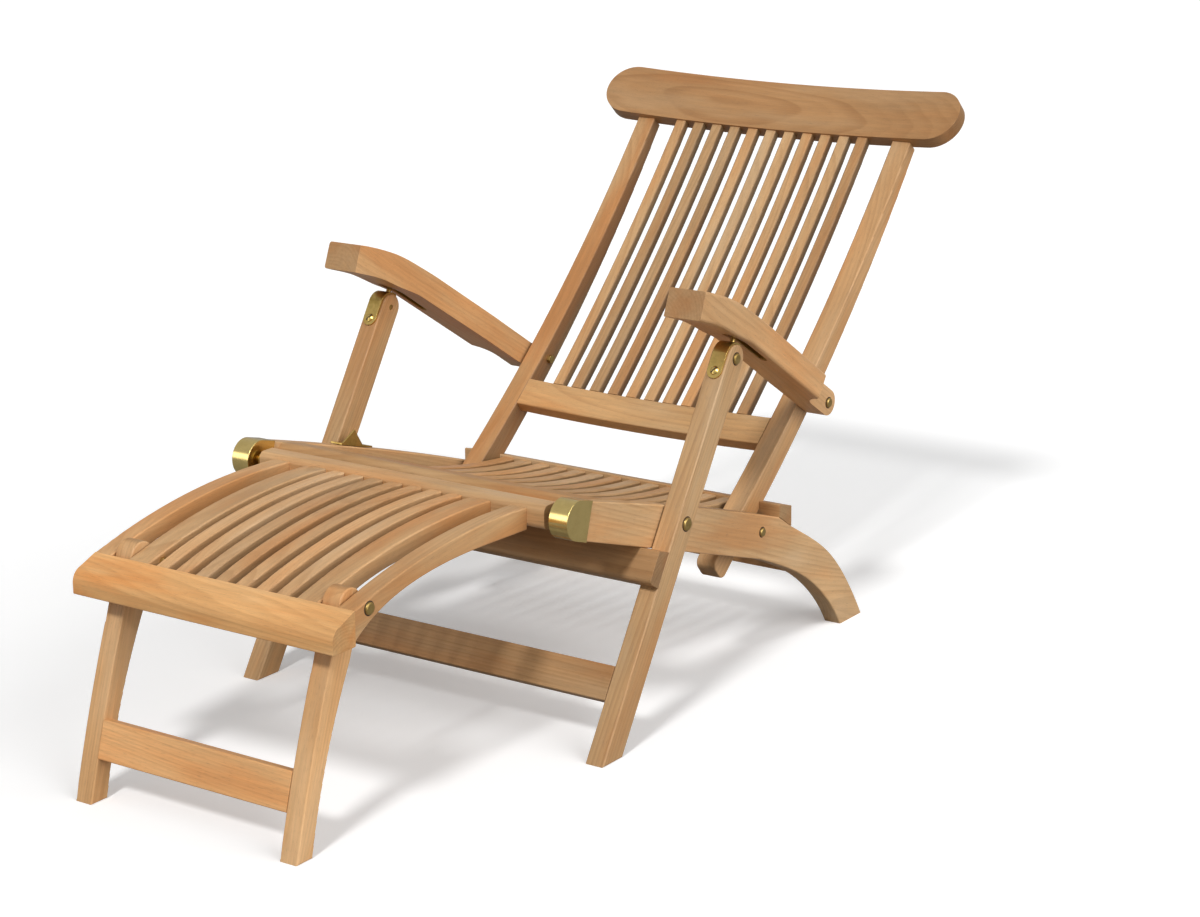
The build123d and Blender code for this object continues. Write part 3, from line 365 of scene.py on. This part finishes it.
# a look's grain is the way its boards run: degrees up from level towards the back, or across it
def makeTeak(name, look, names):
    look = {**usualLook, **look}
    low, high = boxOf(names)
    centre = (low + high) / 2
    centre.x = 0.0
    if look["grain"] == "across":
        turn = (0.0, 0.0, math.radians(90.0))
    else:
        turn = (-math.radians(look["grain"]), 0.0, 0.0)
    material = newMaterial(name)
    tree = material.node_tree
    figure = addNode(tree, "ShaderNodeGroup", node_tree=teakGroup)
    values = {"Centre": centre, "Turn": turn, "Spacing": look["spacing"], "Seed": look["seed"],
              "Tone": (*look["tone"], 1.0), "Figure": look["figure"], "Warmth": look["warmth"],
              "Spread": look["spread"], "SideShade": look["sideShade"], "InwardShade": look["inwardShade"]}
    for key, value in values.items():
        figure.inputs[key].default_value = value
    rounded = addNode(tree, "ShaderNodeBevel", {"Radius": teak["edge"]}, samples=4)
    bump = addNode(tree, "ShaderNodeBump",
                   {"Strength": teak["bump"], "Distance": teak["bumpDepth"],
                    "Height": figure.outputs["Height"], "Normal": rounded.outputs[0]})
    shader = addNode(tree, "ShaderNodeBsdfPrincipled",
                     {"Base Color": figure.outputs["Color"],
                      "Roughness": figure.outputs["Roughness"],
                      "Normal": bump.outputs[0], "Specular IOR Level": teak["specular"]})
    addNode(tree, "ShaderNodeOutputMaterial", {"Surface": shader.outputs[0]})
    dress(names, material)


def pair(name):
    return [f"{name}_left", f"{name}_right"]


sideRails = {"grain": -17.0, "spacing": 0.26, "seed": 1.0, "tone": (1.0, 1.0, 1.0), "figure": 0.45,
             "warmth": 0.7, "spread": 0.12}
makeTeak("railTeak", sideRails, pair("side_rail"))

seatBars = {
    "seat_front_bar": {"grain": "across", "seed": 2.0, "tone": (0.84, 0.77, 0.67), "warmth": 0.9},
    "seat_rear_bar": {"grain": "across", "seed": 3.0, "tone": (0.97, 0.95, 0.92)},
    "rear_cross_rail": {"grain": "across", "seed": 4.0, "tone": (0.92, 0.90, 0.88)},
}
for name, look in seatBars.items():
    makeTeak(name + "Teak", look, [name])

# these slats' narrow faces get painted shade
seatSlats = {"grain": -14.7, "spacing": 0.0324, "seed": 5.0, "tone": (0.97, 0.95, 0.93),
             "spread": 0.3, "sideShade": 0.35}
makeTeak("seatSlatTeak", seatSlats, ["seat_slats"])

frontLegs = {"grain": 58.3, "spacing": 0.29, "seed": 6.0, "tone": (0.91, 0.90, 0.88),
             "figure": 0.45}
makeTeak("frontLegTeak", frontLegs, pair("front_leg"))

stretchers = {
    "leg_upper_stretcher": {"grain": "across", "seed": 7.0, "tone": (0.66, 0.60, 0.54)},
    "leg_lower_stretcher": {"grain": "across", "seed": 8.0, "tone": (0.82, 0.77, 0.72)},
    "footrest_leg_stretcher": {"grain": "across", "seed": 9.0, "tone": (1.32, 1.18, 1.03)},
}
for name, look in stretchers.items():
    makeTeak(name + "Teak", look, [name])

# the stiles' inward-looking faces get painted shade
backFrame = {"grain": 43.5, "spacing": 0.24, "seed": 10.0, "tone": (0.87, 0.80, 0.73),
             "warmth": 0.8, "inwardShade": 0.45}
makeTeak("stileTeak", backFrame, pair("back_stile"))
lowerRail = {"grain": "across", "seed": 11.0, "tone": (0.94, 0.89, 0.80), "figure": 0.35}
makeTeak("lowerRailTeak", lowerRail, ["back_lower_rail"])
headBoard = {"grain": "across", "seed": 12.0, "tone": (0.70, 0.60, 0.50),
             "figure": 0.45}
makeTeak("headrestTeak", headBoard, ["headrest"])
# these slats' narrow faces get painted shade
backSlats = {"grain": 43.8, "spacing": 0.0324, "seed": 13.0, "tone": (0.95, 0.92, 0.88),
             "spread": 0.3, "sideShade": 0.50}
makeTeak("backSlatTeak", backSlats, [f"back_slat_{i:02d}" for i in range(1, 12)])

arms = {"grain": -32.2, "spacing": 0.29, "seed": 14.0, "tone": (1.04, 0.98, 0.92), "figure": 0.3}
makeTeak("armTeak", arms, pair("armrest"))

footrestBars = {
    "footrest_front_bar": {"grain": "across", "seed": 15.0, "tone": (1.30, 1.15, 0.93),
                           "warmth": 0.9},
    "footrest_rear_bar": {"grain": "across", "seed": 16.0, "tone": (1.0, 0.98, 0.96)},
}
for name, look in footrestBars.items():
    makeTeak(name + "Teak", look, [name])
footrestSides = {"grain": 6.0, "spacing": 0.20, "seed": 17.0, "tone": (1.0, 0.98, 0.95),
                 "warmth": 0.8}
makeTeak("footrestSideTeak", footrestSides, pair("footrest_side"))
# these slats' narrow faces get painted shade
footrestSlats = {"grain": 7.0, "spacing": 0.0324, "seed": 18.0, "tone": (0.99, 0.94, 0.90),
                 "spread": 0.34, "sideShade": 0.25}
makeTeak("footrestSlatTeak", footrestSlats, [f"footrest_slat_{i}" for i in range(2, 9)])
wideSlats = {"grain": 7.0, "spacing": 0.20, "seed": 20.0, "tone": (1.0, 0.97, 0.93), "warmth": 0.8}
makeTeak("wideSlatTeak", wideSlats, ["footrest_slat_1", "footrest_slat_9"])
footrestLegs = {"grain": 72.4, "spacing": 0.17, "seed": 19.0, "tone": (1.16, 1.06, 0.95)}
makeTeak("footrestLegTeak", footrestLegs, pair("footrest_leg"))


print("stage: brass")
brass = {
    "bright": (0.86, 0.70, 0.34, 1.0),
    "tarnish": (0.44, 0.34, 0.13, 1.0),
    "cloud": (55.0, 55.0, 55.0),
    "speck": (700.0, 700.0, 700.0),
    "scratch": (260.0, 1500.0, 260.0),
    "dullRough": 0.30,             # how much rougher tarnish is
    "edge": 0.0005,
    "bumpDepth": 0.0002,
}


def makeBrass(name, look, names):
    material = newMaterial(name)
    tree = material.node_tree
    place = addNode(tree, "ShaderNodeTexCoord").outputs["Object"]
    cloud = noise(tree, place, brass["cloud"], 4.0, 0.6)
    speck = noise(tree, place, brass["speck"], 2.0, 0.5)
    scratch = noise(tree, place, brass["scratch"], 2.0, 0.5)
    dull = remap(tree, cloud, 0.40, 0.68, look["age"] * 0.35, look["age"], smooth=True)
    spots = remap(tree, speck, 0.60, 0.72, 0.0, look["age"] * 0.8, smooth=True)
    dull = calc(tree, "MAXIMUM", dull, spots)
    color = mixColor(tree, dull, brass["bright"], brass["tarnish"])
    color = mixColor(tree, 1.0, color, (*look["tone"], 1.0), "MULTIPLY")
    roughness = remap(tree, dull, 0.0, 1.0, look["polish"], look["polish"] + brass["dullRough"])
    height = calc(tree, "MULTIPLY_ADD", speck, 0.5, scratch)
    rounded = addNode(tree, "ShaderNodeBevel", {"Radius": brass["edge"]}, samples=4)
    bump = addNode(tree, "ShaderNodeBump",
                   {"Strength": look["bump"], "Distance": brass["bumpDepth"], "Height": height,
                    "Normal": rounded.outputs[0]})
    shader = addNode(tree, "ShaderNodeBsdfPrincipled",
                     {"Base Color": color, "Roughness": roughness, "Metallic": 1.0,
                      "Normal": bump.outputs[0]})
    addNode(tree, "ShaderNodeOutputMaterial", {"Surface": shader.outputs[0]})
    dress(names, material)
    return material


railCaps = {"age": 0.28, "polish": 0.16, "bump": 0.06, "tone": (1.05, 0.98, 0.78)}
makeBrass("capBrass", railCaps, ["rail_caps"])
hooks = {"age": 0.85, "polish": 0.20, "bump": 0.60, "tone": (0.92, 0.80, 0.55)}
makeBrass("hookBrass", hooks, ["leg_hooks", "hook_screws", "leg_bracket"] + pair("arm_channel"))
bolts = {"age": 1.0, "polish": 0.24, "bump": 0.30, "tone": (0.72, 0.62, 0.48)}
makeBrass("boltBrass", bolts, ["leg_top_bolts", "leg_pivot_bolts", "back_pivot_bolts",
                               "arm_pivot_bolts", "footrest_leg_bolts", "leg_washers",
                               "stile_spacers", "arm_washers", "footrest_hinge_pins",
                               "hinge_washers"])

print("stage: small details")
# the fine mottle of small parts that are neither grained teak nor brass
plain = {"mottle": (900.0, 900.0, 900.0), "mottleShade": (0.8, 1.2)}


def plainMaterial(name, look):
    material = newMaterial(name)
    tree = material.node_tree
    place = addNode(tree, "ShaderNodeTexCoord").outputs["Object"]
    mottle = noise(tree, place, plain["mottle"], 2.0)
    mottle = remap(tree, mottle, 0.3, 0.7, *plain["mottleShade"])
    grey = addNode(tree, "ShaderNodeCombineXYZ", {"X": mottle, "Y": mottle, "Z": mottle}).outputs[0]
    color = mixColor(tree, 1.0, look["color"], grey, "MULTIPLY")
    shader = addNode(tree, "ShaderNodeBsdfPrincipled",
                     {"Base Color": color, "Roughness": look["roughness"]})
    addNode(tree, "ShaderNodeOutputMaterial", {"Surface": shader.outputs[0]})
    return material


def makePiece(name, shape, material):
    mesh = bpy.data.meshes.new(name)
    shape.to_mesh(mesh)
    shape.free()
    mesh.materials.append(material)
    piece = bpy.data.objects.new(name, mesh)
    scene.collection.objects.link(piece)
    return piece


# a turned piece, whose profile is a row of (radius, height) pairs along its axis
def addTurned(name, body, place, axis, profile, material, segments=40):
    shape = bmesh.new()
    turn = Vector((0, 0, 1)).rotation_difference(Vector(axis)).to_matrix()
    loops = []
    for radius, height in profile:
        loop = []
        for i in range(segments):
            angle = 2 * math.pi * i / segments
            spot = Vector((radius * math.cos(angle), radius * math.sin(angle), height))
            loop.append(shape.verts.new(turn @ spot + Vector(place)))
        loops.append(loop)
    for low, high in zip(loops, loops[1:]):
        for i in range(segments):
            j = (i + 1) % segments
            shape.faces.new((low[i], low[j], high[j], high[i]))
    shape.faces.new(loops[-1])
    shape.faces.new(list(reversed(loops[0])))
    piece = makePiece(name, shape, material)
    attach(piece, body)


sides = {"Left": 1, "Right": -1}

# painted shade: a thin near-black ring round each bolt's head stands in for the shadow in its
# recess
boltRingShade = {
    "reach": 0.0013,           # metres past the head
    "thick": 0.0003,           # above the wood
    "depth": 0.0005,           # into the wood
    "headHeight": 0.0032,
    "color": (0.045, 0.028, 0.014, 1.0),
    "roughness": 0.7,
}
boltRows = {
    "leg_top_bolts": ("legs", "legs"),
    "leg_pivot_bolts": ("legs", "legs"),
    "back_pivot_bolts": ("root", "root"),
    "arm_pivot_bolts": ("arm_left", "arm_right"),
    "footrest_leg_bolts": ("footrest", "footrest"),
}
boltSeat = plainMaterial("boltSeat", boltRingShade)
for row, bodies in boltRows.items():
    low, high = boxOf([row])
    middle = (low + high) / 2
    reach = (high.z - low.z) / 2 + boltRingShade["reach"]
    disc = [(reach, -boltRingShade["depth"]), (reach, boltRingShade["thick"])]
    for (side, sign), body in zip(sides.items(), bodies):
        spot = (sign * (high.x - boltRingShade["headHeight"]), middle.y, middle.z)
        addTurned(f"{row}Seat{side}", body, spot, (sign, 0, 0), disc, boltSeat)

# a broad slotted screw at the foot of each hook strap
hookScrews = {
    "age": 0.45,
    "polish": 0.20,
    "bump": 0.25,
    "tone": (0.90, 0.78, 0.52),
    "reach": 0.0062,                   # metres, like the sizes below
    "dome": ((1.0, -0.0002), (1.0, 0.0006), (0.86, 0.0017), (0.55, 0.0025), (0.2, 0.0028)),
    "plainReach": 0.0046,              # of the plain screw that it covers
    "plainHalf": 0.0011,               # half of that screw's height
    "slotLength": 1.7,                 # times the reach
    "slotWidth": 0.0016,
    "slotDepth": 0.0012,
    "slotHeight": 0.0023,
    "slotTurn": 0.9,                   # radians
    "legLean": 58.1,                   # degrees up from level, of the front legs
}
screwBrass = makeBrass("screwBrass", hookScrews, [])
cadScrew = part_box("hook_screws")
low, high = Vector(cadScrew[0]), Vector(cadScrew[1])
tilt = math.radians(hookScrews["legLean"])
outward = Vector((0.0, -math.sin(tilt), math.cos(tilt)))
upLeg = Vector((0.0, math.cos(tilt), math.sin(tilt)))
reach = hookScrews["reach"]
dome = [(share * reach, height) for share, height in hookScrews["dome"]]
turn = hookScrews["slotTurn"]
along = Vector((math.cos(turn), 0, 0)) + upLeg * math.sin(turn)
beside = outward.cross(along)
# the slot is a near-black box in the recess material: painted shade in its hollow
slotAxes = Matrix((along * reach * hookScrews["slotLength"], beside * hookScrews["slotWidth"],
                   outward * hookScrews["slotDepth"])).transposed().to_4x4()
for side, sign in sides.items():
    foot = (low + high) / 2 - outward * hookScrews["plainHalf"]
    foot.x = sign * (high.x - hookScrews["plainReach"])
    addTurned(f"hookScrewHead{side}", "legs", foot, outward, dome, screwBrass)
    slotPlace = Matrix.Translation(foot + outward * hookScrews["slotHeight"])
    slotShape = bmesh.new()
    bmesh.ops.create_cube(slotShape, size=1.0)
    bmesh.ops.transform(slotShape, matrix=slotPlace @ slotAxes, verts=slotShape.verts)
    slot = makePiece(f"hookScrewSlot{side}", slotShape, boltSeat)
    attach(slot, "legs")

# two plugs let into the seat's front bar, a little under its surface
seatPlugs = {
    "places": (-0.80, 0.80),           # of the way from the middle to the bar's ends
    "behindNose": 0.030,               # metres, like the sizes below
    "belowTop": 0.0052,
    "reach": 0.0035,
    "low": -0.002,
    "high": 0.0002,
    "lean": 14.0,                      # degrees
    "segments": 24,
    "color": (0.72, 0.50, 0.30, 1.0),
    "roughness": 0.5,
}
plugWood = plainMaterial("plugWood", seatPlugs)
low, high = boxOf(["seat_front_bar"])
lean = math.radians(seatPlugs["lean"])
upright = (0.0, math.sin(lean), math.cos(lean))
plug = [(seatPlugs["reach"], seatPlugs["low"]), (seatPlugs["reach"], seatPlugs["high"])]
for i, share in enumerate(seatPlugs["places"]):
    spot = (share * high.x, low.y + seatPlugs["behindNose"], high.z - seatPlugs["belowTop"])
    addTurned(f"seatPlug{i}", "root", spot, upright, plug, plugWood, seatPlugs["segments"])

print("stage: done")
